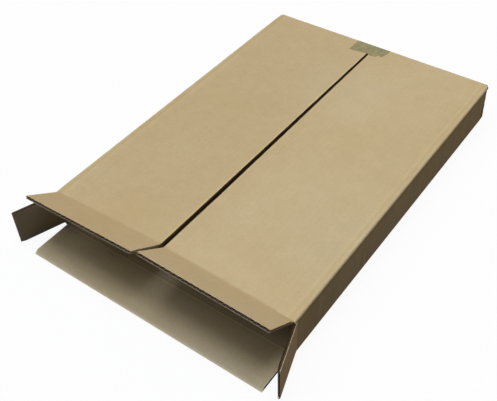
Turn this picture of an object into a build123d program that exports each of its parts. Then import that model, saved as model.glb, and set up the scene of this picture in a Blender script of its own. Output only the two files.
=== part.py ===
from build123d import *
import os
from math import cos, radians, sin, sqrt

# Shallow shipping carton of single-wall corrugated board, cut and folded from one sheet.
# X runs across the carton, Y along it from the open end (-Y) to the closed end (+Y), Z up.
# The origin is the centre of the carton's underside. All sizes are in millimetres.

# Board
BOARD = 3.6                 # thickness over both liners
LINER = 0.35                # thickness of each flat facing sheet
MEDIUM = 0.4                # thickness of the wavy sheet, measured upright
FLUTE_PITCH = 7.0           # one full wave of the wavy sheet
FOLD_OUTSIDE = 2.4          # outside radius of a finished right-angle fold, crushed by its score
FOLD_INSIDE = 0.6           # inside radius of the same fold

# Carton
WIDTH = 322.0               # outside, across
HEIGHT = 53.0               # outside
LENGTH = 455.0              # open end's top crease to the outside of the closed end
LEFT_LIP_NEAR = -5.8        # edge of the left top panel beside the slot, at the open end
LEFT_LIP_FAR = -6.4         # the same edge at the closed end
RIGHT_LIP_NEAR = -1.4
RIGHT_LIP_FAR = -3.6
LEFT_LIFT = 6.4             # how far the left panel's corner has sprung up at the open end
RIGHT_LIFT = 4.5
SLIT = 2.4                  # how far the slits beside the walls' flaps run in behind the creases

# End flaps
FLAP_INSET = 3.0            # side of the carton to the side edge of a top flap or the inner base flap
BASE_INSET_LEFT = 5.8       # the same at the open end's base flap, which sits off to the right
BASE_INSET_RIGHT = 2.0
SIDE_FLAP = 59.0            # crease to edge, on the flaps of the side walls
BASE_FLAP_STOP = 2.2        # how far below the top the base flap's edge comes when it is closed
CLEAR = 0.3                 # gap between layers and beside moving edges
CREASE_RELIEF = 2.7         # crease line to the start of a flap's full board
CREASE_BAR = 3.0            # crushed band beside the crease, where the flutes are closed
LEFT_RAISED = 32.5          # degrees above level of the left top flap
RIGHT_RAISED = 37.3
LEFT_SPLAYED = 19.5         # degrees outwards of the left side flap
RIGHT_SPLAYED = 17.5

# Tape
TAPE_WIDTH = 50.0
TAPE_ON_LEFT = 25.1         # share of that width on the left panel, up to the slot
TAPE_ON_TOP = 27.0          # longest reach of the tape on the top
TAPE_STOP = 7.0             # lower end of the tape to the lower edge of the flaps that it holds
TAPE_THICKNESS = 0.15
TAPE_GLUE = 0.05            # bond line between the tape and the board
FLAT_BEYOND_TAPE = 3.0      # the top panels lie flat under the tape and this much further
# Corners of the torn edge: share of the width from the left, and how far short of the full reach
TORN_EDGE = [
    (0, 0), (0.53, 3.7), (0.61, 1.2), (0.79, 2.9), (0.82, 8.2), (0.92, 5.6), (0.95, 8.8), (1, 19),
]

# Air channel between a flat facing sheet and the wavy sheet: half widths, in shares of the pitch
CHANNEL_MOUTH = 0.40        # along the facing sheet
CHANNEL_MIDDLE = 0.25       # halfway up the wave
CHANNEL_FLOOR = 0.07        # in the trough of the wave

HALF = BOARD / 2
LAYER = BOARD + CLEAR
PANEL_HALF = WIDTH / 2 - FOLD_OUTSIDE       # where the flat of the top and base panels ends
INSIDE_LOW = BOARD + CLEAR                  # lower and upper edge of the side flaps
INSIDE_HIGH = HEIGHT - BOARD - CLEAR
WALL_X = WIDTH / 2 - HALF                   # middle of a side wall's board
TOP_Z = HEIGHT - HALF                       # middle of the top panels' board

FLAP_HALF = WIDTH / 2 - FLAP_INSET
TOP_FLAP = TOP_Z - INSIDE_LOW               # top flaps reach down to just above the base
BASE_FLAP = HEIGHT - HALF - BASE_FLAP_STOP
BASE_LEFT = BASE_INSET_LEFT - WIDTH / 2
BASE_RIGHT = WIDTH / 2 - BASE_INSET_RIGHT

NOSE_RADIUS = CREASE_RELIEF - CLEAR         # the board's rounded end stays inside this circle
NOSE_STEP = 0.8                             # half height of the rounded end's flat tip

# Crease lines at the open end: side flaps fold in first, then the top flaps, the base flap last
CREASE_STEP = NOSE_RADIUS + CLEAR + HALF
TOP_CREASE = -LENGTH / 2
SIDE_CREASE = TOP_CREASE + CREASE_STEP
BASE_CREASE = TOP_CREASE - CREASE_STEP

# Outside faces of the folded layers at the closed end, where the top flaps lie outermost
FOLD_REACH = BOARD + FOLD_INSIDE            # outside face to where the fold's inside begins
TOP_END = LENGTH / 2
BASE_END = TOP_END - LAYER
SIDE_END = BASE_END - LAYER
TOP_FOLD = TOP_END - FOLD_REACH
BASE_FOLD = BASE_END - FOLD_REACH
SIDE_FOLD = SIDE_END - FOLD_REACH
FLAT_START = TOP_END - TAPE_ON_TOP - FLAT_BEYOND_TAPE
TAPE_LEFT = LEFT_LIP_FAR - TAPE_ON_LEFT


def slab(x_span, y_span, z_span):
    """Flat board between two values on each axis."""
    size = [high - low for low, high in (x_span, y_span, z_span)]
    middle = [(high + low) / 2 for low, high in (x_span, y_span, z_span)]
    return Pos(*middle) * Box(*size)


def nose_outline():
    """Points of the rounded board end, from its upper to its lower face, past the crease line."""
    shoulder = sqrt(NOSE_RADIUS**2 - HALF**2)
    tip = sqrt(NOSE_RADIUS**2 - NOSE_STEP**2)
    return [(shoulder, HALF), (tip, NOSE_STEP), (tip, -NOSE_STEP), (shoulder, -HALF)]


def panel_end(corner, out, across, width, run):
    """Board that reaches from `run` behind the crease line to its rounded end.

    The corner lies on the crease line, `out` points away from the carton and `across` along
    the crease.
    """
    frame = Plane(origin=corner, x_dir=out, z_dir=across)
    outline = [(-run, HALF), *nose_outline(), (-run, -HALF)]
    return extrude(frame * make_face(Polyline(*outline, close=True)), amount=width, dir=across)


def folded_flap(corner, along, outward, width, panel, flap):
    """Board that turns a right angle at the outside corner: `panel` long, then `flap` long.

    `along` points from the panel towards the corner and `outward` from the flap's free edge
    towards it. The strip is extruded to the side that their cross product points to.
    """
    outline = Polyline(
        (-panel, 0), (0, 0), (0, -flap), (-BOARD, -flap), (-BOARD, -BOARD), (-panel, -BOARD),
        close=True,
    )
    face = Sketch() + make_face(outline)
    outer = face.vertices().sort_by_distance((0, 0, 0))[0]
    face = fillet(outer, FOLD_OUTSIDE)
    inner = face.vertices().sort_by_distance((-BOARD, -BOARD, 0))[0]
    face = fillet(inner, FOLD_INSIDE)
    side = along.cross(outward)
    return extrude(Plane(origin=corner, x_dir=along, z_dir=side) * face, amount=width, dir=side)


def tube():
    """Base, side walls and the four long folds, open between the top folds.

    The walls stop at their slits, and the folds and the base run on to the creases.
    """
    ring = RectangleRounded(WIDTH, HEIGHT, FOLD_OUTSIDE)
    ring -= RectangleRounded(WIDTH - 2 * BOARD, HEIGHT - 2 * BOARD, FOLD_INSIDE)
    ring -= Pos(0, HEIGHT / 2 - HALF) * Rectangle(2 * PANEL_HALF, BOARD)
    upper = ring & Pos(0, HEIGHT / 2 - HALF) * Rectangle(WIDTH, BOARD)
    lower = ring & Pos(0, HALF - HEIGHT / 2) * Rectangle(WIDTH, BOARD)
    stretches = [
        (ring, SIDE_CREASE + SLIT, SIDE_FOLD - SLIT),
        (upper, TOP_CREASE, TOP_FOLD),
        (lower, TOP_CREASE, BASE_FOLD),
    ]
    shell = Part()
    for section, near, far in stretches:
        frame = Plane(origin=(0, near, HEIGHT / 2), x_dir=(1, 0, 0), z_dir=(0, -1, 0))
        shell += extrude(frame * section, amount=far - near, dir=(0, 1, 0))
    return shell


def top_panel(side_x, lip_near, lip_far, lift):
    """Top panel from its long fold to the slot, sprung up by `lift` at its open corner."""
    outline = [(FLAT_START, HALF)]
    outline += [(TOP_CREASE - past, up) for past, up in nose_outline()]
    outline += [(FLAT_START, -HALF)]
    near_share = [(FLAT_START - y) / (FLAT_START - TOP_CREASE) for y, up in outline]
    at_fold = [(side_x, y, TOP_Z + up) for y, up in outline]
    at_slot = [
        (lip_far + (lip_near - lip_far) * share, y, TOP_Z + up + lift * share)
        for (y, up), share in zip(outline, near_share)
    ]
    rings = [Wire.make_polygon([Vector(*p) for p in ring], close=True) for ring in (at_fold, at_slot)]
    return Solid.make_loft(rings, ruled=True)


def carton():
    """The carton itself: everything but the five flaps of its open end, as one folded sheet."""
    x, y, z = Vector(1, 0, 0), Vector(0, 1, 0), Vector(0, 0, 1)
    wall_height = INSIDE_HIGH - INSIDE_LOW
    body = tube()
    base_width = BASE_RIGHT - BASE_LEFT
    body += panel_end((BASE_RIGHT, BASE_CREASE, HALF), -y, -x, base_width, TOP_CREASE - BASE_CREASE)
    for side in (-1, 1):
        corner = (side * WALL_X, SIDE_CREASE, INSIDE_LOW)
        body += panel_end(corner, -y, z, wall_height, SLIT)
    body += top_panel(-PANEL_HALF, LEFT_LIP_NEAR, LEFT_LIP_FAR, LEFT_LIFT)
    body += top_panel(PANEL_HALF, RIGHT_LIP_NEAR, RIGHT_LIP_FAR, RIGHT_LIFT)
    for span in ((-PANEL_HALF, LEFT_LIP_FAR), (RIGHT_LIP_FAR, PANEL_HALF)):
        body += slab(span, (FLAT_START, TOP_FOLD), (HEIGHT - BOARD, HEIGHT))

    flap_run = HEIGHT - INSIDE_LOW
    fold_run = FOLD_REACH + CLEAR
    left_width = LEFT_LIP_FAR + FLAP_HALF
    right_width = FLAP_HALF - RIGHT_LIP_FAR
    body += folded_flap((-FLAP_HALF, TOP_END, HEIGHT), y, z, left_width, fold_run, flap_run)
    body += folded_flap((RIGHT_LIP_FAR, TOP_END, HEIGHT), y, z, right_width, fold_run, flap_run)
    body += folded_flap((FLAP_HALF, BASE_END, 0), y, -z, 2 * FLAP_HALF, fold_run, flap_run)
    side_run = SIDE_FLAP + HALF
    side_panel = FOLD_REACH + SLIT
    body += folded_flap((WIDTH / 2, SIDE_END, INSIDE_HIGH), y, x, wall_height, side_panel, side_run)
    body += folded_flap((-WIDTH / 2, SIDE_END, INSIDE_LOW), y, -x, wall_height, side_panel, side_run)
    return body


def air_channel(centre, up):
    """Section of one air channel, with its mouth on the upper facing sheet where `up` is 1."""
    mouth = HALF - LINER
    floor = MEDIUM - mouth
    flank = [(CHANNEL_MOUTH, mouth), (CHANNEL_MIDDLE, MEDIUM / 2), (CHANNEL_FLOOR, floor)]
    right = [(centre + FLUTE_PITCH * share, up * height) for share, height in flank]
    left = [(2 * centre - x, height) for x, height in reversed(right)]
    return make_face(Polyline(*right, *left, close=True))


def flap_board(width, depth):
    """Flap lying flat: X along its crease from 0, -Y away from it, Z up from the board's middle."""
    bar_end = CREASE_RELIEF + CREASE_BAR
    bar = slab((0, width), (-bar_end, -CREASE_RELIEF), (-HALF, HALF))
    step = FLUTE_PITCH / 2
    count = int((width - 2 * LINER) / step) - 1
    first = (width - (count - 1) * step) / 2
    channels = [air_channel(first + i * step, 1 if i % 2 else -1) for i in range(count)]
    section = Pos(width / 2, 0) * Rectangle(width, BOARD)
    section -= channels
    frame = Plane(origin=(0, -bar_end, 0), x_dir=(1, 0, 0), z_dir=(0, -1, 0))
    return bar + extrude(frame * section, amount=depth - bar_end, dir=(0, -1, 0))


def hung_flap(start, end, out, depth):
    """Flap on the crease line from start to end, lying in the direction `out` points to."""
    crease = end - start
    along = crease.normalized()
    frame = Plane(origin=start, x_dir=along, z_dir=along.cross(-out))
    return frame.location * flap_board(crease.length, depth)


def top_flap(start_x, start_lift, end_x, end_lift, raised):
    start = Vector(start_x, TOP_CREASE, TOP_Z + start_lift)
    end = Vector(end_x, TOP_CREASE, TOP_Z + end_lift)
    along = (end - start).normalized()
    level = Vector(0, -1, 0)
    out = level * cos(radians(raised)) + level.cross(along) * sin(radians(raised))
    return hung_flap(start, end, out, TOP_FLAP)


def side_flap(side, splayed):
    start = Vector(side * WALL_X, SIDE_CREASE, INSIDE_LOW)
    end = Vector(side * WALL_X, SIDE_CREASE, INSIDE_HIGH)
    out = Vector(side * sin(radians(splayed)), -cos(radians(splayed)), 0)
    return hung_flap(start, end, out, SIDE_FLAP)


def base_flap():
    start = Vector(BASE_LEFT, BASE_CREASE, HALF)
    end = Vector(BASE_RIGHT, BASE_CREASE, HALF)
    return hung_flap(start, end, Vector(0, -1, 0), BASE_FLAP)


def tape():
    """Strip across the slot at the closed end, over the top fold and down the end, torn in front."""
    blocks = []
    for lift in (TAPE_GLUE + TAPE_THICKNESS, TAPE_GLUE):
        run = TAPE_ON_TOP + lift
        drop = TOP_FLAP + HALF - TAPE_STOP + lift
        outline = Polyline((-run, 0), (0, 0), (0, -drop), (-run, -drop), close=True)
        face = Sketch() + make_face(outline)
        outer = face.vertices().sort_by_distance((0, 0, 0))[0]
        blocks.append(Pos(lift, lift) * fillet(outer, FOLD_OUTSIDE + lift))
    strip = blocks[0] - blocks[1]
    side = Plane(origin=(TAPE_LEFT, TOP_END, HEIGHT), x_dir=(0, 1, 0), z_dir=(1, 0, 0))
    solid = extrude(side * strip, amount=TAPE_WIDTH, dir=(1, 0, 0))
    edge = [
        (TAPE_LEFT + share * TAPE_WIDTH, TOP_END - TAPE_ON_TOP + short) for share, short in TORN_EDGE
    ]
    behind = TOP_END + FOLD_OUTSIDE
    outline = Polyline(*edge, (TAPE_LEFT + TAPE_WIDTH, behind), (TAPE_LEFT, behind), close=True)
    return solid & extrude(make_face(outline), amount=HEIGHT + FOLD_OUTSIDE)


parts = {
    "carton": carton(),
    "top_flap_left": top_flap(-FLAP_HALF, 0, LEFT_LIP_NEAR, LEFT_LIFT, LEFT_RAISED),
    "top_flap_right": top_flap(RIGHT_LIP_NEAR, RIGHT_LIFT, FLAP_HALF, 0, RIGHT_RAISED),
    "base_flap": base_flap(),
    "side_flap_left": side_flap(-1, LEFT_SPLAYED),
    "side_flap_right": side_flap(1, RIGHT_SPLAYED),
    "sealing_tape": tape(),
}

os.makedirs("parts", exist_ok=True)
for name, shape in parts.items():
    export_step(shape, f"parts/{name}.step")
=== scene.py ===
"""Looks of a shallow shipping carton of corrugated kraft board, one end open and one end taped shut.

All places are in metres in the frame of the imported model: X runs across the carton, Y from the
open end to the taped end, and Z up. Left and right are as seen from the open end.
"""
from math import cos, pi, radians, sin, tan

import bpy
import numpy as np
from mathutils import Matrix, Vector


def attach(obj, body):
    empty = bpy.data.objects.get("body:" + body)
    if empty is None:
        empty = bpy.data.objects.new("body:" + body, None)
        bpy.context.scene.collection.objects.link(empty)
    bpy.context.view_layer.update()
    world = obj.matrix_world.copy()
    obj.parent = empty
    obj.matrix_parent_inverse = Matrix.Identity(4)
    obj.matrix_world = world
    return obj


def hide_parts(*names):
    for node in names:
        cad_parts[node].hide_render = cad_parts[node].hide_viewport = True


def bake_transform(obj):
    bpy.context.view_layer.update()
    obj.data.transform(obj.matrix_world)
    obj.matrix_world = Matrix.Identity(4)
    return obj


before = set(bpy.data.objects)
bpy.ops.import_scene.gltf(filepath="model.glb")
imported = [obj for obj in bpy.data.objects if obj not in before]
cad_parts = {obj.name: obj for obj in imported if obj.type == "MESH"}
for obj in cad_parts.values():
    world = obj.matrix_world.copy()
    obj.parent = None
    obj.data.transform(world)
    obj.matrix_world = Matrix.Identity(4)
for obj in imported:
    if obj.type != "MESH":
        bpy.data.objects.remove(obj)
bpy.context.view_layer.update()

MM = 0.001

# Board
BOARD = 3.6 * MM
HALF = BOARD / 2
LINER = 0.35 * MM                   # flat facing sheet
MEDIUM = 0.5 * MM                   # wavy sheet between the facing sheets
FLUTE_PITCH = 7.0 * MM
WASHBOARD = 0.03 * MM               # how far a facing sheet dips between two crests of the wavy sheet

# Carton
WIDTH = 322 * MM
HEIGHT = 53 * MM
TOP_END = 227.5 * MM                # outside of the closed end
TOP_CREASE = -227.5 * MM            # where the top flaps begin
FOLD_OUTSIDE = 2.4 * MM             # radius of a fold's outside
PANEL_HALF = WIDTH / 2 - FOLD_OUTSIDE
LEFT_LIFT = 6.4 * MM                # how far the top panels have risen at the slot's open end
RIGHT_LIFT = 4.5 * MM
FLAT_START = 197.5 * MM             # the top panels are level from here to the closed end
LEFT_LIP = (-5.8 * MM, -6.4 * MM)   # left panel's edge at the slot: open end, closed end
RIGHT_LIP = (-1.4 * MM, -3.6 * MM)  # right panel's edge there
FOLD_END = 214.5 * MM               # the walls turn in behind the end flaps from here on
END_LAYERS = 219.8 * MM             # start of the two flap layers that close the far end
LAYER_PITCH = BOARD + 0.3 * MM      # from one of those layers to the next

# Creases of the open end
CREASE_STEP = 4.5 * MM              # between the creases of the side flaps, top flaps and base flap
SIDE_CREASE = TOP_CREASE + CREASE_STEP
BASE_CREASE = TOP_CREASE - CREASE_STEP
BASE_SCORE = -230.5 * MM            # line that the base flap's score has left on the base
TOP_Z = HEIGHT - HALF               # middle of the top's board
WALL_X = WIDTH / 2 - HALF           # middle of a wall's board
AWAY = np.array([0.0, -1.0, 0.0])   # direction out of the open end

# Flaps of the open end
TOP_FLAP = 47.3 * MM
TOP_FLAP_SIDE = WIDTH / 2 - 3 * MM  # outer side of a top flap
BASE_FLAP = 49.0 * MM
BASE_SIDES = (-155.2 * MM, 159 * MM)
SIDE_FLAP = 59.0 * MM
SIDE_LOW, SIDE_HIGH = 3.9 * MM, 49.1 * MM
LEFT_RAISED = radians(32.5)
RIGHT_RAISED = radians(37.3)
LEFT_SPLAYED = radians(19.5)
RIGHT_SPLAYED = radians(17.5)

# Facing sheets across a crease
NOSE = 1.6 * MM                     # past a crease, where the carton's board begins to round off
FLAP_START = 2.7 * MM               # past a crease, where the flap's full board begins
ON_PANEL = 2.2 * MM                 # how far a flap's facing sheets reach back over the panel
PROUD = 0.03 * MM                   # how far they lie above it there
ROUNDING = 0.9 * MM                 # from the sharp corner of a bend to where its curve begins
BEND_HANDLE = 0.36                  # end handles of that curve, as a share of the bend's length
OVER_BOARD = 0.5 * MM               # past a crease, where a bend's inner side stops lying on the carton

# Cut edges of the flaps
BURR = 0.45 * MM                    # by how much the knife has spread the lower facing sheet's edge
EDGE_STRIP = 5.6 * MM               # along the free edge, where the mesh is finer
CRUSH_REACH = 5.5 * MM              # along the free edge, where a knife has pressed the board down
CRUSH_SHORTER = 1.2 * MM            # how far the other sheets end short of the inside sheet there
FACING_COLUMNS = 8                  # steps of a facing sheet's mesh in one flute
WAVY_COLUMNS = 16                   # steps of the wavy sheet's mesh in one flute

# Tape
TAPE_LEFT = -31.5 * MM
TAPE_WIDTH = 50 * MM
TAPE_ON_TOP = 27 * MM
TAPE_DROP = 42.1 * MM
TAPE_GLUE = 0.05 * MM
TAPE_THICKNESS = 0.1 * MM
TORN_EDGE = [                       # share of the width, and how many millimetres are torn off there
    (0, 0), (0.53, 3.7), (0.61, 1.2), (0.79, 2.9), (0.82, 8.2), (0.92, 5.6), (0.95, 8.8), (1, 19),
]

# Floor, lights and camera
FLOOR_HALF = 6.0                    # half of its side
FLOOR_GAP = 0.1 * MM                # between the floor and the carton
FLOOR_GREY = 0.07                   # of the floor's light on the carton
SHADOW_SHARE = 0.08                 # how much of its shadows the white floor shows
SKY_GREY = 0.01                     # of the surroundings' light on the carton
LAMP_SIZE = 1.9
LAMP_DISTANCE = 3.0
SENSOR_MM = 36
FOCAL_PIXELS = 762.5
IMAGE_WIDTH = 497
CAMERA_PLACE = (393.3 * MM, -595.4 * MM, 641.2 * MM)
AZIMUTH, ELEVATION, ROLL = radians(37.45), radians(44.39), radians(-2.35)


def unit(vector):
    vector = np.asarray(vector, float)
    return vector / np.linalg.norm(vector)


def smooth_step(value):
    value = np.clip(value, 0, 1)
    return value * value * (3 - 2 * value)


# ---------------------------------------------------------------- meshes


def grid_faces(index):
    """Four-cornered faces between neighbours on a grid of point numbers."""
    return np.stack([index[:-1, :-1], index[:-1, 1:], index[1:, 1:], index[1:, :-1]], -1).reshape(-1, 4)


def rim_faces(upper, lower):
    """Faces of a closed band between two loops of point numbers."""
    return np.stack([upper, lower, np.roll(lower, -1), np.roll(upper, -1)], -1)


def sheet_shell(upper, lower):
    """Closed solid between two surfaces on the same grid: both surfaces and the rim that joins them.

    Returns its points, its faces and, for each face, 0 on the upper surface, 1 on the lower one, and
    2 on the rim's first and last row or 3 on its sides. The faces are turned so that those of the
    upper surface look away from the lower one.
    """
    rows, columns = upper.shape[:2]
    index = np.arange(rows * columns).reshape(rows, columns)
    loop = np.concatenate([index[0, :-1], index[:-1, -1], index[-1, :0:-1], index[:0:-1, 0]])
    top = grid_faces(index)
    bottom = grid_faces(index + index.size)[:, ::-1]
    faces = np.concatenate([top, bottom, rim_faces(loop, loop + index.size)])
    rim_part = np.repeat([2, 3, 2, 3], [columns - 1, rows - 1, columns - 1, rows - 1])
    where = np.concatenate([np.zeros(len(top)), np.ones(len(bottom)), rim_part])
    step, stride = upper[:-1, 1:] - upper[:-1, :-1], upper[1:, :-1] - upper[:-1, :-1]
    if np.sum(np.cross(step, stride) * (upper - lower)[:-1, :-1]) < 0:
        faces = faces[:, ::-1]
    return np.concatenate([upper.reshape(-1, 3), lower.reshape(-1, 3)]), faces, where


def new_piece(name, points, faces, material, crisp=35):
    """Mesh object at the origin, smooth where its faces meet at less than `crisp` degrees."""
    mesh = bpy.data.meshes.new(name)
    mesh.from_pydata(points.tolist(), [], faces.tolist())
    mesh.shade_smooth()
    mesh.set_sharp_from_angle(angle=radians(crisp))
    mesh.materials.append(material)
    piece = bpy.data.objects.new(name, mesh)
    bpy.context.scene.collection.objects.link(piece)
    return piece


def store_vectors(piece, name, domain, values):
    """Stores one vector for each point or face, for the piece's material to read."""
    layer = piece.data.attributes.new(name, "FLOAT_VECTOR", domain)
    layer.data.foreach_set("vector", np.asarray(values, np.float32).ravel())


# ---------------------------------------------------------------- node helpers


def fill(tree, node, inputs):
    """Gives each of the node's sockets in `inputs` its value, or links it to another node's output."""
    for socket, value in inputs.items():
        if isinstance(value, bpy.types.NodeSocket):
            tree.links.new(value, node.inputs[socket])
        else:
            node.inputs[socket].default_value = value
    return node


def add(tree, kind, inputs=None, **settings):
    """A new node with its settings and inputs."""
    node = tree.nodes.new(kind)
    for name, value in settings.items():
        setattr(node, name, value)
    return fill(tree, node, inputs or {})


def maths(tree, operation, first, second=0.0, third=0.0):
    inputs = {0: first, 1: second, 2: third}
    return add(tree, "ShaderNodeMath", inputs, operation=operation).outputs[0]


def product(tree, first, *others):
    for other in others:
        first = maths(tree, "MULTIPLY", first, other)
    return first


def above(tree, value, limit):
    return maths(tree, "GREATER_THAN", value, limit)


def below(tree, value, limit):
    return maths(tree, "LESS_THAN", value, limit)


def spread(tree, value, low, high, out_low=0.0, out_high=1.0, smooth=False):
    """Maps low..high to out_low..out_high and stops at both ends."""
    inputs = {"Value": value, "From Min": low, "From Max": high, "To Min": out_low, "To Max": out_high}
    interpolation = "SMOOTHSTEP" if smooth else "LINEAR"
    return add(tree, "ShaderNodeMapRange", inputs, interpolation_type=interpolation).outputs["Result"]


def bell(tree, value, centre, reach):
    """1 at `centre`, falling smoothly to 0 at `reach` from it on both sides."""
    off = maths(tree, "ABSOLUTE", maths(tree, "SUBTRACT", value, centre))
    return spread(tree, off, 0.0, reach, 1.0, 0.0, smooth=True)


def mixed(tree, share, first, second, mode="MIX"):
    """Colour between `first` and `second`."""
    inputs = {0: share, 6: first, 7: second}
    return add(tree, "ShaderNodeMix", inputs, data_type="RGBA", blend_type=mode).outputs[2]


def dimmed(tree, colour, light):
    """Colour multiplied by a value."""
    shade = add(tree, "ShaderNodeCombineColor", {0: light, 1: light, 2: light}).outputs[0]
    return mixed(tree, 1.0, colour, shade, "MULTIPLY")


def noise(tree, place, scale, detail=2.0, roughness=0.5):
    """Noise with `scale` steps in a metre, as one number or as one for each axis."""
    if isinstance(scale, tuple):
        place = add(tree, "ShaderNodeVectorMath", {0: place, 1: scale}, operation="MULTIPLY").outputs[0]
        scale = 1.0
    inputs = {"Vector": place, "Scale": scale, "Detail": detail, "Roughness": roughness}
    return add(tree, "ShaderNodeTexNoise", inputs).outputs["Fac"]


def separated(tree, vector):
    return add(tree, "ShaderNodeSeparateXYZ", {0: vector}).outputs


def new_group(name, inputs, outputs):
    """Shader group with sockets of the given names and kinds, and the outputs that its inputs feed."""
    group = bpy.data.node_groups.new(name, "ShaderNodeTree")
    for in_out, sockets in (("INPUT", inputs), ("OUTPUT", outputs)):
        for socket, kind in sockets.items():
            group.interface.new_socket(socket, in_out=in_out, socket_type="NodeSocket" + kind)
    return group, add(group, "NodeGroupInput").outputs


def new_material(name):
    material = bpy.data.materials.new(name)
    material.use_nodes = True
    tree = material.node_tree
    return material, tree, tree.nodes["Principled BSDF"]


def grey(level):
    return (level, level, level, 1.0)


def tone(red, green, blue):
    """Linear colour of a tone that is written in screen values from 0 to 255."""
    levels = np.array([red, green, blue]) / 255
    linear = np.where(levels <= 0.04045, levels / 12.92, ((levels + 0.055) / 1.055) ** 2.4)
    return (*linear.tolist(), 1.0)


# ---------------------------------------------------------------- kraft board

# The right panel's tone is lighter than the left's as painted light: light that falls stronger on the right
# of the top.
LEFT_PANEL_TONE = tone(193, 172, 133)
RIGHT_PANEL_LIT_TONE = tone(198, 178, 138)
# A little darker than the panels' tones: painted shade on the same paper as the panels.
FLAP_TONE = tone(189, 167, 128)
# Greyer than the outside: partly the inner liner's own paper, partly painted cool light of the shade.
INSIDE_TONE = tone(190, 174, 144)
# The wavy sheet's own darker paper; it also paints the shade of the flute hollows on the facing sheets'
# hollow-side faces and side cuts.
WAVY_AND_HOLLOW_SHADE_TONE = tone(104, 83, 58)
CUT_TONE = tone(230, 214, 186)
# Raw board of the cut sides: its own darker medium, with painted shade in the flute hollows.
RAW_EDGE_SHADE = tone(84, 62, 36)
RAW_EDGE_PALE = tone(132, 106, 70)
# painted shade of the dark slot, laid as a line along its right lip
SLOT_SHADE_TONE = tone(44, 30, 16)
WARM, COOL = (1.02, 1.0, 0.96, 1), (0.98, 1.0, 1.04, 1)
# tint of the painted shade in a score's groove
GROOVE_SHADE_TINT = (1.0, 1.0, 0.92, 1)
STRIPE_STRENGTH = 0.008             # share by which the flutes lighten and darken the paper
STRIPE_HEIGHT = 0.005 * MM
FIBRE_HEIGHT = 0.03 * MM
BOARD_SPECULAR = 0.22

# Where the carton's parts are, for its material
BASE_INSIDE = 6 * MM                # the inside of the base lies lower than this
TOP_PANELS = 40 * MM                # the top panels lie higher than this
SLOT_SIDES = 40 * MM                # upright faces nearer to the middle than this are the slot's
SLOT_SHADE_GROWN = 90 * MM                # from the open end, where the painted shade line on the slot's right lip is fully dark
PAINTED_LIGHT_REACH = 60 * MM                # from the middle, where the painted light across the top ends


def kraft_paper_group():
    """Kraft facing paper over flutes: tone, roughness and height from a place and from the
    coordinate across the flutes.

    Tone = liner tone x broad clouds x mottling x fibres x faint flute stripes, with sparse specks.
    Height = flute stripes + fibres + mottling.
    """
    group, source = new_group(
        "kraft_paper",
        {"Place": "Vector", "Across Flutes": "Float", "Liner": "Color", "Stripe Strength": "Float"},
        {"Colour": "Color", "Roughness": "Float", "Height": "Float"},
    )
    place = source["Place"]
    clouds = noise(group, place, 9.0)
    mottle = noise(group, place, 85.0, detail=3.0, roughness=0.6)
    fibres = noise(group, place, (420.0, 1500.0, 1500.0), roughness=0.6)
    specks = noise(group, place, (260.0, 700.0, 700.0), detail=1.0)

    wave = maths(group, "COSINE", product(group, source["Across Flutes"], 2 * pi / FLUTE_PITCH))
    stripes = product(group, wave, spread(group, clouds, 0.3, 0.7, 0.5, 1.0))
    light = product(
        group,
        spread(group, clouds, 0.25, 0.75, 0.95, 1.05),
        spread(group, mottle, 0.2, 0.8, 0.955, 1.045),
        spread(group, fibres, 0.2, 0.8, 0.93, 1.07),
        maths(group, "MULTIPLY_ADD", stripes, source["Stripe Strength"], 1.0),
        spread(group, specks, 0.70, 0.78, 1.0, 0.80),
    )
    tint = mixed(group, spread(group, clouds, 0.3, 0.7), WARM, COOL)
    colour = mixed(group, 1.0, dimmed(group, source["Liner"], light), tint, "MULTIPLY")

    height = product(group, stripes, STRIPE_HEIGHT)
    height = maths(group, "MULTIPLY_ADD", fibres, FIBRE_HEIGHT, height)
    height = maths(group, "MULTIPLY_ADD", mottle, FIBRE_HEIGHT, height)
    roughness = spread(group, mottle, 0.2, 0.8, 0.84, 0.94)
    add(group, "NodeGroupOutput", {"Colour": colour, "Roughness": roughness, "Height": height})
    return group


def scored_fold_group():
    """Tone factor near a scored fold, and the place of its groove.

    A painted highlight on the fold itself, painted shade in the groove that the score leaves, and a
    painted highlight on the ridge beside it.
    """
    group, source = new_group(
        "scored_fold",
        {"Distance": "Float", "Place": "Vector"},
        {"Tone": "Float", "Groove": "Float"},
    )
    wander = spread(group, noise(group, source["Place"], 24.0), 0.2, 0.8, -0.7 * MM, 0.7 * MM)
    distance = maths(group, "ADD", source["Distance"], wander)
    fold = bell(group, distance, 1.6 * MM, 2.4 * MM)
    groove = bell(group, distance, 6.2 * MM, 2.4 * MM)
    ridge = bell(group, distance, 9.8 * MM, 2.6 * MM)
    # painted highlight on the fold and the ridge, painted shade in the groove
    light = maths(group, "MULTIPLY_ADD", fold, 0.055, 1.0)
    light = maths(group, "MULTIPLY_ADD", groove, -0.035, light)
    light = maths(group, "MULTIPLY_ADD", ridge, 0.065, light)
    add(group, "NodeGroupOutput", {"Tone": light, "Groove": groove})
    return group


KRAFT_PAPER = kraft_paper_group()
SCORED_FOLD = scored_fold_group()


def board_material(name):
    material, tree, shader = new_material(name)
    shader.inputs["Specular IOR Level"].default_value = BOARD_SPECULAR
    return material, tree, shader


def paper_on(tree, shader, place, across, liner):
    """Puts the kraft paper's colour, roughness and bump on the shader."""
    paper = add(
        tree, "ShaderNodeGroup",
        {"Place": place, "Across Flutes": across, "Liner": liner, "Stripe Strength": STRIPE_STRENGTH},
        node_tree=KRAFT_PAPER,
    ).outputs
    bump = add(tree, "ShaderNodeBump", {"Height": paper["Height"], "Distance": 1.0, "Strength": 1.0})
    fill(tree, shader, {
        "Base Color": paper["Colour"], "Roughness": paper["Roughness"], "Normal": bump.outputs[0],
    })


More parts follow.
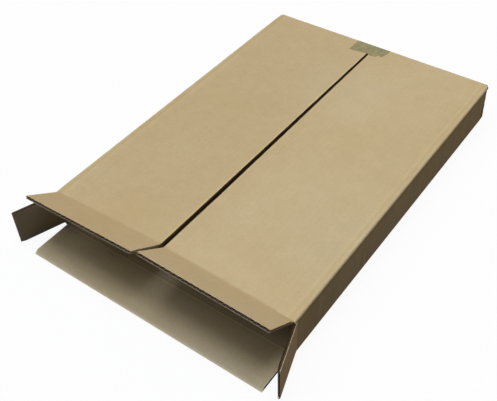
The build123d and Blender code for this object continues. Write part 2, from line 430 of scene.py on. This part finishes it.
def base_crease_shading(tree, y, inside):
    """Tone factor of the score between base and base flap: painted highlight on the fold, painted shade
    behind it.
    """
    line = product(tree, bell(tree, y, BASE_SCORE, 1.3 * MM), 0.26)
    line = maths(tree, "MULTIPLY_ADD", bell(tree, y, BASE_SCORE + 2.6 * MM, 1.8 * MM), -0.12, line)
    return maths(tree, "MULTIPLY_ADD", line, inside, 1.0)


def between_ends(tree, along, at_open_end, at_closed_end):
    """Value that changes evenly along the carton, at `along` from the open end."""
    slope = (at_closed_end - at_open_end) / (TOP_END - TOP_CREASE)
    return maths(tree, "MULTIPLY_ADD", along, slope, at_open_end)


def carton_material():
    """Board of the carton itself, from Object coordinates.

    Tone = liner, with painted light that makes the top lighter towards the right, x the painted
    highlights and shade of the scored long folds x faint upright streaks on the walls x the painted
    highlight and shade of the base's inner crease x a painted highlight along the slot's lips, with a
    painted shade line along the slot's right lip, where the slot is dark. Sides of the slot and of
    the end flaps are raw board, painted dark for the shade in its flute hollows.
    """
    material, tree, shader = board_material("carton_board")
    place = add(tree, "ShaderNodeTexCoord").outputs["Object"]
    x, y, z = separated(tree, place)
    facing = separated(tree, add(tree, "ShaderNodeNewGeometry").outputs["Normal"])
    upright = above(tree, maths(tree, "ABSOLUTE", facing["X"]), 0.7)
    on_base = product(tree, below(tree, z, BASE_INSIDE), above(tree, facing["Z"], 0.3))
    across = maths(tree, "MULTIPLY_ADD", upright, maths(tree, "SUBTRACT", z, x), x)
    off_middle = maths(tree, "ABSOLUTE", x)

    from_side = maths(tree, "SUBTRACT", WIDTH / 2, off_middle)
    from_top = maths(tree, "MAXIMUM", maths(tree, "SUBTRACT", HEIGHT, z), 0.0)
    from_corner = maths(tree, "ADD", from_side, from_top)
    fold = add(
        tree, "ShaderNodeGroup", {"Distance": from_corner, "Place": place}, node_tree=SCORED_FOLD,
    ).outputs
    streaks = noise(tree, place, (1.0, 150.0, 14.0), detail=3.0, roughness=0.65)
    streaks = maths(tree, "MULTIPLY_ADD", spread(tree, streaks, 0.3, 0.7, -0.1, 0.1), upright, 1.0)

    along = maths(tree, "SUBTRACT", y, TOP_CREASE)
    lip_ends = list(zip(LEFT_LIP, RIGHT_LIP))
    slot_middle = between_ends(tree, along, *[(left + right) / 2 for left, right in lip_ends])
    slot_half = between_ends(tree, along, *[(right - left) / 2 for left, right in lip_ends])
    from_lip = maths(tree, "ABSOLUTE", maths(tree, "SUBTRACT", x, slot_middle))
    from_lip = maths(tree, "SUBTRACT", from_lip, slot_half)
    # painted shade: a dark line along the slot's right lip, where the slot is dark
    slot_shade_line = product(
        tree,
        above(tree, x, slot_middle),
        above(tree, z, TOP_PANELS),
        spread(tree, along, 0.0, SLOT_SHADE_GROWN),
        spread(tree, from_lip, 0.6 * MM, 1.0 * MM, 1.0, 0.0),
    )

    # painted light: the top turns lighter from the left panel's tone to the right one's
    painted_light_across = spread(tree, x, -PAINTED_LIGHT_REACH, PAINTED_LIGHT_REACH, smooth=True)
    liner = mixed(tree, painted_light_across, LEFT_PANEL_TONE, RIGHT_PANEL_LIT_TONE)
    # painted shade tint in the score's groove
    liner = mixed(tree, fold["Groove"], liner, mixed(tree, 1.0, liner, GROOVE_SHADE_TINT, "MULTIPLY"))
    # inside of the base: the greyer inside tone, partly painted cool shade light
    liner = mixed(tree, on_base, liner, INSIDE_TONE)
    light = product(
        tree,
        fold["Tone"],
        streaks,
        base_crease_shading(tree, y, on_base),
        # painted highlight along the slot's lips
        spread(tree, from_lip, 1.1 * MM, 3.0 * MM, 1.07, 1.0),
    )
    liner = mixed(tree, slot_shade_line, dimmed(tree, liner, light), SLOT_SHADE_TONE)

    # raw board on the upright cut sides of the slot and the end flaps, painted dark for the shade in the
    # flute hollows
    at_slot, at_end = below(tree, off_middle, SLOT_SIDES), above(tree, y, END_LAYERS)
    raw = product(tree, upright, maths(tree, "MAXIMUM", at_slot, at_end))
    shreds = noise(tree, place, (400.0, 90.0, 700.0), detail=3.0, roughness=0.7)
    torn = mixed(tree, spread(tree, shreds, 0.35, 0.65), RAW_EDGE_SHADE, RAW_EDGE_PALE)
    paper_on(tree, shader, place, across, mixed(tree, raw, liner, torn))
    return material


def flap_material(name, across_axis):
    """Board of a flap, from the place that each point has on the unfolded sheet.

    The faces' "sheet" says which paper they are: X is 1 on the wavy sheet and on the painted shade
    of the flute hollows, and up to 2 where that painted shade is almost black, Y is 1 on cut paper
    edges and Z on the facing sheet that is the carton's inside.
    """
    material, tree, shader = board_material(name)
    place = add(tree, "ShaderNodeAttribute", attribute_name="unfolded").outputs["Vector"]
    sheet = add(tree, "ShaderNodeAttribute", attribute_name="sheet").outputs["Vector"]
    parts, kind = separated(tree, place), separated(tree, sheet)
    liner = mixed(tree, kind["Z"], FLAP_TONE, INSIDE_TONE)
    liner = dimmed(tree, liner, base_crease_shading(tree, parts["Y"], kind["Z"]))
    # the wavy sheet, and painted shade of the flute hollows, down to almost black where X is 2
    liner = mixed(tree, kind["X"], liner, WAVY_AND_HOLLOW_SHADE_TONE)
    liner = dimmed(tree, liner, spread(tree, kind["X"], 1.0, 2.0, 1.0, 0.2))
    liner = mixed(tree, kind["Y"], liner, CUT_TONE)
    paper_on(tree, shader, place, parts[across_axis], liner)
    return material


# ---------------------------------------------------------------- flaps


def crease_profile(offset, turn, depth):
    """Line of one facing sheet across a crease, in the plane square to the crease.

    The first coordinate points away from the carton and the second to the side that the flap turns
    to. The line is straight on the panel, at `offset` from the board's middle, then a cubic curve
    whose ends run on along both faces, then straight on the flap to its edge at `depth`.
    Returns the line's points and, for each, how far it is past the crease on the unfolded sheet.
    """
    if offset > 0:
        meet = offset * tan(turn / 2)
        leave, arrive = -meet - ROUNDING, meet + ROUNDING
    else:
        leave, arrive = NOSE, FLAP_START + 0.7 * MM
    along_flap = np.array([cos(turn), sin(turn)])
    square_to_flap = np.array([-sin(turn), cos(turn)])
    on_panel = np.linspace(-ON_PANEL - ROUNDING, leave, 5)
    first = np.stack([on_panel, np.full(5, offset)], 1)
    to_edge = depth - np.linspace(EDGE_STRIP, 0, 7)
    on_flap = np.concatenate([arrive + (to_edge[0] - arrive) * np.linspace(0, 1, 12)[:-1], to_edge])
    last = on_flap[:, None] * along_flap + offset * square_to_flap
    share = np.linspace(0, 1, 9)[1:-1, None]
    pull = BEND_HANDLE * (arrive - leave)
    second, third = first[-1] + (pull, 0), last[0] - pull * along_flap
    bend = (
        first[-1] * (1 - share) ** 3 + 3 * second * share * (1 - share) ** 2
        + 3 * third * share**2 * (1 - share) + last[0] * share**3
    )
    unfolded = np.concatenate([on_panel, leave + share[:, 0] * (arrive - leave), on_flap])
    return np.concatenate([first, bend, last]), unfolded


class Flap:
    """Fluted flap with its crease from `start` to `end`, as two facing sheets and a wavy sheet.

    The flap points to `out` and its free edge is `depth` past the crease. `inside` says which face
    is the carton's inside: 1 for the one that the flap turns to. `closed` is how far the cut along
    the flutes has pressed the wavy sheet across the gap at both sides, and `crushed` how far the
    knife has pressed the inside sheet down on the others along the free edge. `pale` is how pale
    the side cuts of the inside, wavy and outside sheets are; the rest of each side cut is painted
    shade of the flute hollows. `gaps` is how dark the painted shade of the flute hollows is: 1 as
    the wavy sheet, 2 almost black.
    """

    def __init__(
        self, start, end, out, depth, inside=-1, closed=0.0, crushed=0.0, pale=(0.6, 0.45, 0.6), gaps=1.0,
    ):
        self.start, self.end = np.array(start), np.array(end)
        self.depth, self.inside, self.closed, self.crushed = depth, inside, closed, crushed
        self.pale, self.gaps = pale, gaps
        self.short = depth - max(0, 2 * crushed - 1) * CRUSH_SHORTER
        self.width = np.linalg.norm(self.end - self.start)
        self.along = (self.end - self.start) / self.width
        self.side = unit(np.cross(self.along, -AWAY))
        self.turn = float(np.arctan2(unit(out) @ self.side, unit(out) @ AWAY))

    def columns(self, per_flute):
        """Places along the crease, their turn on the wave and how far they are from a side."""
        across = np.linspace(0, self.width, int(self.width / FLUTE_PITCH * per_flute) + 1)
        wave = 2 * np.pi * (across - self.width / 2) / FLUTE_PITCH
        return across, wave, np.minimum(across, self.width - across)

    def unfolded_places(self, across, unfolded):
        """Grid of places on the board's middle as if the flap lay level with its panel."""
        return self.start + across[None, :, None] * self.along + unfolded[:, None, None] * AWAY

    def surface(self, across, line, lift):
        """Points of the line carried along the crease, each lifted square to the level panel."""
        return self.unfolded_places(across, line[:, 0]) + (line[:, 1, None] + lift)[:, :, None] * self.side

    def crush(self, unfolded):
        """How far the board is pressed down: smooth_step over CRUSH_REACH up to the free edge."""
        return self.crushed * smooth_step((unfolded - self.depth) / CRUSH_REACH + 1)[:, None]

    def shell(self, upper, lower, across, unfolded, wavy, inside):
        """Solid between a sheet's surfaces, its places on the unfolded sheet and its faces' papers."""
        points, faces, where = sheet_shell(upper, lower)
        places = np.tile(self.unfolded_places(across, unfolded).reshape(-1, 3), (2, 1))
        side_cut = self.pale[1 if wavy else 2 - 2 * inside]
        # dark: the wavy sheet, and painted shade on the facing sheets' hollow-side faces and on the side
        # cuts
        dark = np.where(where == 3, 1 - side_cut, wavy | (where == 1)) * self.gaps
        cut = np.where(where == 3, side_cut, where == 2).astype(float)
        # paler towards the crushed free edge of the inside sheet
        paled_to_edge = 0.6 * inside * self.crush(unfolded)[1:, 0]
        cut[where == 0] += np.repeat(paled_to_edge, len(across) - 1)
        return points, faces, places, np.stack([dark, cut, np.full(len(where), inside)], -1)

    def facing_sheet(self, face):
        """Facing sheet on the side that the flap turns to (1) or on the other side (-1).

        It follows crease_profile, and its height over the flap is
        -WASHBOARD (1 - face cos(wave)) / 2, less where it comes closer at the cut edges and where
        the knife has pressed it down. On the carton it lies PROUD of the board, and its end dips in.
        """
        inside = int(face == self.inside)
        across, wave, from_side = self.columns(FACING_COLUMNS)
        end_at = self.depth if inside else self.short
        outer_line, unfolded = crease_profile(face * HALF, self.turn, end_at)
        inner_line, _ = crease_profile(face * (HALF - LINER), self.turn, end_at)
        on_board = unfolded <= (OVER_BOARD if face > 0 else NOSE)
        buried = 1 - smooth_step((unfolded - unfolded[0]) / (0.8 * MM))
        raised = np.where(on_board, PROUD, 0) - 3 * PROUD * buried
        grown = smooth_step((unfolded - 2 * MM) / (6 * MM))[:, None]
        at_edge = 0.05 * np.exp((unfolded - self.depth) / (0.8 * MM))[:, None]
        at_side = 0.16 * self.closed * np.exp(-from_side / (1.3 * MM))
        dip = WASHBOARD * (face * np.cos(wave) - 1) / 2 - HALF * (at_side + at_edge)
        dip = dip - (BOARD - LINER - 0.1 * MM) * self.crush(unfolded) * inside
        lift = face * (raised[:, None] + grown * dip)
        burr = BURR * np.exp((unfolded - self.depth) / (0.5 * MM)) * (face < 0)
        outer = self.surface(across, outer_line, lift)
        inner = self.surface(across, inner_line, lift + burr[:, None])
        return self.shell(outer, inner, across, unfolded, 0, inside)

    def wavy_sheet(self):
        """Wavy sheet, height cos(wave) from the board's middle and as thick as MEDIUM square to its
        slope.

        The height grows from a quarter at the crushed crease to the full gap. At the cut sides the
        sheet is `pressed` across the gap, and under a crushed edge it lies `flat`.
        """
        across, wave, from_side = self.columns(WAVY_COLUMNS)
        just_past_middle = 1e-7
        line, unfolded = crease_profile(just_past_middle, self.turn, 2 * self.short - self.depth)
        beyond = unfolded > -0.5 * MM
        line, unfolded = line[beyond], unfolded[beyond]
        grown = smooth_step((unfolded - 1 * MM) / (7 * MM))[:, None]
        height = (HALF - LINER - MEDIUM / 2) * (0.25 + 0.75 * grown)
        flat = np.minimum(1.45 * self.crush(unfolded), 1)
        pressed = self.closed * np.exp(-from_side / (0.6 * MM)) * grown
        slope = height * (1 - flat) * np.sin(wave) * 2 * np.pi / FLUTE_PITCH
        thick = MEDIUM / 2 * np.sqrt(1 + slope**2)
        thick = thick + (0.86 * (HALF - LINER) - thick) * pressed * (1 - flat)
        crest = height * np.cos(wave) * (1 - 0.2 * np.exp(-from_side / (1.3 * MM)))
        crest = crest * (1 - pressed) * (1 - flat) - self.inside * height * flat
        upper = self.surface(across, line, crest + thick)
        lower = self.surface(across, line, crest - thick)
        return self.shell(upper, lower, across, unfolded, 1, 0)


def flap_piece(body, material, flap):
    """One piece of a flap's three sheets, bent round the crease in the flap's present pose."""
    points, faces, places, papers = zip(flap.facing_sheet(1), flap.facing_sheet(-1), flap.wavy_sheet())
    firsts = np.cumsum([0] + [len(part) for part in points[:-1]])
    faces = [part + first for part, first in zip(faces, firsts)]
    piece = new_piece(body + "_board", np.concatenate(points), np.concatenate(faces), material)
    store_vectors(piece, "unfolded", "POINT", np.concatenate(places))
    store_vectors(piece, "sheet", "FACE", np.concatenate(papers))
    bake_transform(piece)
    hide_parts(body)


def top_flap(start, end, raised):
    """Top flap that is turned up about its crease from level."""
    along = unit(np.array(end) - np.array(start))
    out = AWAY * cos(raised) + np.cross(AWAY, along) * sin(raised)
    return Flap(start, end, out, TOP_FLAP, closed=0.6)


def side_flap(start, end, splayed, pale):
    """Side flap that is splayed outwards to the side that its crease is on."""
    out = (np.sign(start[0]) * sin(splayed), -cos(splayed), 0)
    # side flaps: their flute hollows are painted shade, darker than the wavy sheet
    return Flap(start, end, out, SIDE_FLAP, closed=0.3, crushed=0.4, pale=pale, gaps=1.6)


LEVEL = flap_material("level_flap_board", "X")
UPRIGHT = flap_material("upright_flap_board", "Z")

flap_piece("top_flap_left", LEVEL, top_flap(
    (-TOP_FLAP_SIDE, TOP_CREASE, TOP_Z), (LEFT_LIP[0], TOP_CREASE, TOP_Z + LEFT_LIFT), LEFT_RAISED,
))
flap_piece("top_flap_right", LEVEL, top_flap(
    (RIGHT_LIP[0], TOP_CREASE, TOP_Z + RIGHT_LIFT), (TOP_FLAP_SIDE, TOP_CREASE, TOP_Z), RIGHT_RAISED,
))
# base flap: its side cuts and flute hollows are painted almost black, as painted shade of the hollows and
# of the gap under the flap
flap_piece("base_flap", LEVEL, Flap(
    (BASE_SIDES[0], BASE_CREASE, HALF), (BASE_SIDES[1], BASE_CREASE, HALF), AWAY, BASE_FLAP,
    inside=1, crushed=1.0, pale=(0, 0, 0), gaps=2.0,
))
# The left side flap's outside sheet has a darker side cut than the right one's, as painted shade: that flap
# stands in shade.
flap_piece("side_flap_left", UPRIGHT, side_flap(
    (-WALL_X, SIDE_CREASE, SIDE_LOW), (-WALL_X, SIDE_CREASE, SIDE_HIGH), LEFT_SPLAYED, (0, 0, 0.6),
))
flap_piece("side_flap_right", UPRIGHT, side_flap(
    (WALL_X, SIDE_CREASE, SIDE_HIGH), (WALL_X, SIDE_CREASE, SIDE_LOW), RIGHT_SPLAYED, (0, 0, 1),
))

# ---------------------------------------------------------------- carton

CARTON_BOARD = carton_material()
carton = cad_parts["carton"]
carton.data.materials.clear()
carton.data.materials.append(CARTON_BOARD)


def carton_piece(name, outer, inner):
    """Detail of the carton's own board, as the solid between two surfaces."""
    points, faces, _ = sheet_shell(outer, inner)
    piece = new_piece(name, points, faces, CARTON_BOARD)
    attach(piece, "carton")


def top_lift(x, y):
    """How far the outside of the top panels is above their level part: it grows evenly from the
    long fold to the slot, and from FLAT_START to the open end."""
    near = np.clip((FLAT_START - y) / (FLAT_START - TOP_CREASE), 0, 1.01)
    left = LEFT_LIFT * (x + PANEL_HALF) / (PANEL_HALF + LEFT_LIP[0])
    right = RIGHT_LIFT * (PANEL_HALF - x) / (PANEL_HALF - RIGHT_LIP[0])
    slot_middle = (LEFT_LIP[0] + RIGHT_LIP[0]) / 2
    return near * np.where(x < slot_middle, left, right)


def long_fold(name, side):
    """Facing paper over a long top fold, with the score's groove beside it.

    Across the fold, the paper follows the board round a quarter circle. It lies above the board by
    low ridge - groove + bead at the corner, each exp(-((distance - centre) / reach)^2), and dips
    into the board at both borders and at both ends.
    """
    inward = np.linspace(26 * MM, FOLD_OUTSIDE, 40)
    turn = np.linspace(0, np.pi / 2, 9)[1:-1]
    drop = np.linspace(FOLD_OUTSIDE, 12 * MM, 16)
    y = np.linspace(TOP_CREASE + 0.3 * MM, FOLD_END, 90)
    level, upright = np.zeros_like(inward), np.zeros_like(drop)
    arc = FOLD_OUTSIDE * turn
    distance = np.concatenate([FOLD_OUTSIDE - inward, arc, arc[-1] + drop - drop[0]])[:, None]
    x = np.concatenate([WIDTH / 2 - inward, PANEL_HALF + FOLD_OUTSIDE * np.sin(turn), upright + WIDTH / 2])
    z = np.concatenate([level, FOLD_OUTSIDE * (np.cos(turn) - 1), -drop])
    normal_x = np.concatenate([level, np.sin(turn), upright + 1])
    normal_z = np.concatenate([level + 1, np.cos(turn), upright])

    def hump(centre, reach):
        return np.exp(-(((distance - centre) / reach) ** 2))

    sway = 0.35 * MM * np.sin(y / (31 * MM) + 2 * side) + 0.2 * MM * np.sin(y / (9 * MM))
    ridge, groove = 0.34 * MM * hump(-6 * MM, 12 * MM), 0.30 * MM * hump(-6.3 * MM + sway, 2.2 * MM)
    rise = ridge - groove + 0.12 * MM * hump(1.2 * MM, 2.0 * MM)
    from_border = np.minimum(distance - distance[0], distance[-1] - distance)
    from_end = np.minimum(y - y[0], y[-1] - y)
    keep = smooth_step(from_border / (5 * MM)) * smooth_step(from_end / (8 * MM) + 0.05)
    rise = np.maximum(rise, 0.02 * MM) * keep - 0.04 * MM * (1 - smooth_step(from_border / (1.5 * MM)))

    def paper(depth):
        """The paper's surface at `depth` under its outside."""
        out = rise - depth
        across = side * (x[:, None] + normal_x[:, None] * out)
        run = np.broadcast_to(y, across.shape)
        up = HEIGHT + z[:, None] + normal_z[:, None] * out
        up = up + top_lift(across, run) * (x[:, None] <= PANEL_HALF)
        return np.stack([across, run, up], -1)

    carton_piece(name, paper(0), paper(LINER))


def end_flap_edge(name, side):
    """Raw side edges of the two flap layers that close the far end, flush with the wall.

    The edge stands out by reach(y, z) - groove(y): the reach shrinks evenly upwards and outwards,
    where the outer flap leans in, and the groove is deep between the layers and in each open flute.
    """
    y = np.linspace(END_LAYERS, TOP_END - 0.05 * MM, 45)
    z = np.linspace(0.9 * MM, HEIGHT - 2.2 * MM, 60)[:, None]
    lean = smooth_step((y - y[0]) / (6 * MM)) * z / HEIGHT
    reach = WIDTH / 2 - 0.4 * MM - 2.1 * MM * lean
    from_layer_middle = np.abs((y - END_LAYERS) % LAYER_PITCH - HALF)
    flute = 1.1 * MM * smooth_step((HALF - LINER - from_layer_middle) / (0.5 * MM))
    between = 0.9 * MM * smooth_step((from_layer_middle - HALF + 0.15 * MM) / (0.2 * MM))
    frayed = 0.12 * MM * np.sin(z / (1.9 * MM) + 3 * np.sin(y / (1.1 * MM)))
    x = side * (reach - flute - between + frayed)
    run, up = np.broadcast_to(y, x.shape), np.broadcast_to(z, x.shape)
    inner_x = np.full(x.shape, side * (WIDTH / 2 - 3.4 * MM))
    carton_piece(name, np.stack([x, run, up], -1), np.stack([inner_x, run, up], -1))


long_fold("long_fold_left", -1)
long_fold("long_fold_right", 1)
end_flap_edge("end_flap_edge_left", -1)
end_flap_edge("end_flap_edge_right", 1)

# ---------------------------------------------------------------- tape


def tape_material():
    """Translucent film: fine streaks in its colour, and patches in its cover and its sheen."""
    material, tree, shader = new_material("packing_film")
    place = add(tree, "ShaderNodeTexCoord").outputs["Object"]
    streaks = noise(tree, place, (520.0, 30.0, 30.0), detail=3.0, roughness=0.6)
    patches = noise(tree, place, 140.0, detail=3.0, roughness=0.6)
    fill(tree, shader, {
        "Base Color": mixed(tree, spread(tree, streaks, 0.3, 0.7), tone(144, 134, 88), tone(168, 157, 110)),
        "Alpha": spread(tree, patches, 0.3, 0.7, 0.62, 0.86),
        "Roughness": spread(tree, patches, 0.3, 0.7, 0.28, 0.42),
    })
    return material


def tape_piece():
    """Thin film over the closed end: along the top, round the fold and down the end.

    Along the film, the place is a straight run, a quarter circle of the fold's radius and a straight
    drop. Its end on the top is torn: TORN_EDGE, with small ragged steps from a normal distribution.
    """
    across = np.linspace(0, 1, 101)
    shares, shorts = np.array(TORN_EDGE).T
    rng = np.random.default_rng(7)
    ragged = np.interp(across, shares, shorts) * MM + rng.normal(0, 0.16 * MM, across.size)
    begin = TOP_END - TAPE_ON_TOP + np.clip(ragged, 0, None)
    fold = TOP_END - FOLD_OUTSIDE
    low = HEIGHT + TAPE_GLUE + TAPE_THICKNESS - TAPE_DROP
    run = np.linspace(0, 1, 30)[:, None]
    turn = np.linspace(0, np.pi / 2, 9)[1:-1, None]
    drop = np.linspace(0, 1, 24)[:, None]

    def film(lift):
        """The film's surface at `lift` above the board, as one grid."""
        radius = FOLD_OUTSIDE + lift
        upright, level = np.full_like(drop, TOP_END + lift), np.full_like(run, HEIGHT + lift)
        fall = HEIGHT - FOLD_OUTSIDE + (low - HEIGHT + FOLD_OUTSIDE) * drop
        rounded_y, rounded_z = fold + radius * np.sin(turn), HEIGHT - FOLD_OUTSIDE + radius * np.cos(turn)
        on_top = begin + (fold - begin) * run
        rest = np.broadcast_to(np.concatenate([rounded_y, upright]), (len(turn) + len(drop), across.size))
        y = np.concatenate([on_top, rest])
        z = np.broadcast_to(np.concatenate([level, rounded_z, fall]), y.shape)
        return np.stack([np.broadcast_to(TAPE_LEFT + TAPE_WIDTH * across, y.shape), y, z], -1)

    points, faces, _ = sheet_shell(film(TAPE_GLUE + TAPE_THICKNESS), film(TAPE_GLUE))
    piece = new_piece("sealing_tape_film", points, faces, tape_material())
    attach(piece, "carton")
    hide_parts("sealing_tape")


tape_piece()

# ---------------------------------------------------------------- floor, lights and camera


def seen_directly(tree):
    """1 for what the camera sees, also in a shine or through film, and 0 for light on the carton."""
    path = add(tree, "ShaderNodeLightPath").outputs
    seen = maths(tree, "MAXIMUM", path["Is Camera Ray"], path["Is Glossy Ray"])
    return maths(tree, "MAXIMUM", seen, path["Is Transmission Ray"])


def floor_material():
    """Pale floor: white to the camera but for a trace of shadow, and dim in its light on the carton."""
    material, tree, shader = new_material("pale_floor")
    fill(tree, shader, {
        "Base Color": grey(FLOOR_GREY), "Roughness": 0.9, "Specular IOR Level": 0.0,
    })
    white = add(tree, "ShaderNodeEmission", {"Color": grey(1.0), "Strength": 1.0})
    plain = add(tree, "ShaderNodeBsdfDiffuse", {"Color": grey(0.97)})
    shown = add(tree, "ShaderNodeMixShader", {0: SHADOW_SHARE, 1: white.outputs[0], 2: plain.outputs[0]})
    blend = add(
        tree, "ShaderNodeMixShader", {0: seen_directly(tree), 1: shader.outputs[0], 2: shown.outputs[0]},
    )
    output = next(node for node in tree.nodes if node.type == "OUTPUT_MATERIAL")
    fill(tree, output, {"Surface": blend.outputs[0]})
    return material


def floor_piece():
    corners = FLOOR_HALF * np.array([[-1, -1], [1, -1], [1, 1], [-1, 1]])
    points = np.column_stack([corners, np.full(4, -FLOOR_GAP)])
    floor = new_piece("floor", points, np.array([[0, 1, 2, 3]]), floor_material())


def white_surroundings():
    """Surroundings that the camera sees as white and that give hardly any light."""
    world = bpy.data.worlds.new("studio")
    world.use_nodes = True
    bpy.context.scene.world = world
    tree = world.node_tree
    colour = mixed(tree, seen_directly(tree), grey(SKY_GREY), grey(1.0))
    fill(tree, tree.nodes["Background"], {"Color": colour, "Strength": 1.0})


def softbox(name, from_zenith, bearing, watts, colour):
    """Round soft light that faces the carton.

    Its direction is its angle from straight up and its bearing from +X towards +Y, in degrees.
    """
    lamp = bpy.data.lights.new(name, "AREA")
    lamp.shape = "DISK"
    lamp.size = LAMP_SIZE
    lamp.energy = watts
    lamp.color = colour
    tilt, turn = radians(from_zenith), radians(bearing)
    towards = Vector((sin(tilt) * cos(turn), sin(tilt) * sin(turn), cos(tilt)))
    box = bpy.data.objects.new(name, lamp)
    box.location = LAMP_DISTANCE * towards
    box.rotation_mode = "QUATERNION"
    box.rotation_quaternion = towards.to_track_quat("Z", "Y")
    bpy.context.scene.collection.objects.link(box)


def viewing_camera():
    """Camera with a focal length in pixels, turned by its azimuth, elevation and roll."""
    data = bpy.data.cameras.new("camera")
    data.sensor_width = SENSOR_MM
    data.lens = FOCAL_PIXELS / IMAGE_WIDTH * SENSOR_MM
    data.clip_start = 0.01
    data.clip_end = 50
    forward = np.array([-sin(AZIMUTH) * cos(ELEVATION), cos(AZIMUTH) * cos(ELEVATION), -sin(ELEVATION)])
    level_right = np.array([cos(AZIMUTH), sin(AZIMUTH), 0])
    level_down = np.cross(forward, level_right)
    right = cos(ROLL) * level_right - sin(ROLL) * level_down
    down = np.cross(forward, right)
    camera = bpy.data.objects.new("camera", data)
    camera.matrix_world = Matrix([*zip(right, -down, -forward, CAMERA_PLACE), (0, 0, 0, 1)])
    bpy.context.scene.collection.objects.link(camera)
    return camera


floor_piece()
white_surroundings()
softbox("overhead", from_zenith=0, bearing=0, watts=64, colour=(0.95, 1.0, 1.06))
softbox("front_fill", from_zenith=40, bearing=-140, watts=20, colour=(1.0, 1.0, 0.92))
softbox("right_fill", from_zenith=50, bearing=60, watts=13, colour=(1.15, 0.83, 0.54))
bpy.context.scene.camera = viewing_camera()
bpy.context.scene.view_settings.view_transform = "Standard"
